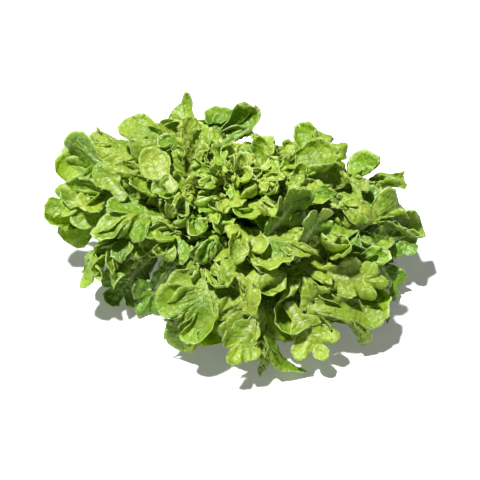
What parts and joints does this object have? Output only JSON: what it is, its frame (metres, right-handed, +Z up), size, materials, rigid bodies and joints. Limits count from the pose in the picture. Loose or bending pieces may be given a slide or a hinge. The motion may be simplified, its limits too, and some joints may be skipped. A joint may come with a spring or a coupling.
{
  "type": "oak leaf lettuce head",
  "caption": "Loose head of green oak leaf lettuce: lobed, waved leaves set in a spiral on a short stem, standing on its cut face.",
  "frame": {"origin": "centre of the stem's cut face, on the surface that the head stands on", "axes": "+Z up the stem through the heart; -Y is the side that the picture looks at from above"},
  "size_m": [0.2957, 0.264, 0.1237],
  "materials": {
    "stem": "pale, moist cut stem",
    "leaf_outer": "deep green leaf, satin, lightly puckered",
    "leaf_middle": "bright green leaf, satin, lightly puckered",
    "leaf_heart": "pale yellow-green leaf, satin"
  },
  "bodies": {
    "root": {"stem": "stem", "leaf_01": "leaf_outer", "leaf_02": "leaf_outer", "leaf_03": "leaf_outer", "leaf_04": "leaf_outer", "leaf_05": "leaf_outer", "leaf_06": "leaf_outer", "leaf_07": "leaf_outer", "leaf_08": "leaf_outer", "leaf_09": "leaf_outer", "leaf_10": "leaf_outer", "leaf_11": "leaf_outer", "leaf_12": "leaf_outer", "leaf_13": "leaf_outer", "leaf_14": "leaf_outer", "leaf_15": "leaf_outer", "leaf_16": "leaf_outer", "leaf_17": "leaf_middle", "leaf_18": "leaf_middle", "leaf_19": "leaf_middle", "leaf_20": "leaf_middle", "leaf_21": "leaf_middle", "leaf_22": "leaf_middle", "leaf_23": "leaf_middle", "leaf_24": "leaf_middle", "leaf_25": "leaf_middle", "leaf_26": "leaf_middle", "leaf_27": "leaf_middle", "leaf_28": "leaf_middle", "leaf_29": "leaf_middle", "leaf_30": "leaf_middle", "leaf_31": "leaf_middle", "leaf_32": "leaf_middle", "leaf_33": "leaf_middle", "leaf_34": "leaf_middle", "leaf_35": "leaf_heart", "leaf_36": "leaf_heart", "leaf_37": "leaf_heart", "leaf_38": "leaf_heart", "leaf_39": "leaf_heart", "leaf_40": "leaf_heart", "leaf_41": "leaf_heart", "leaf_42": "leaf_heart", "leaf_43": "leaf_heart", "leaf_44": "leaf_heart", "leaf_45": "leaf_heart", "leaf_46": "leaf_heart", "leaf_47": "leaf_heart"}
  },
  "joints": []
}
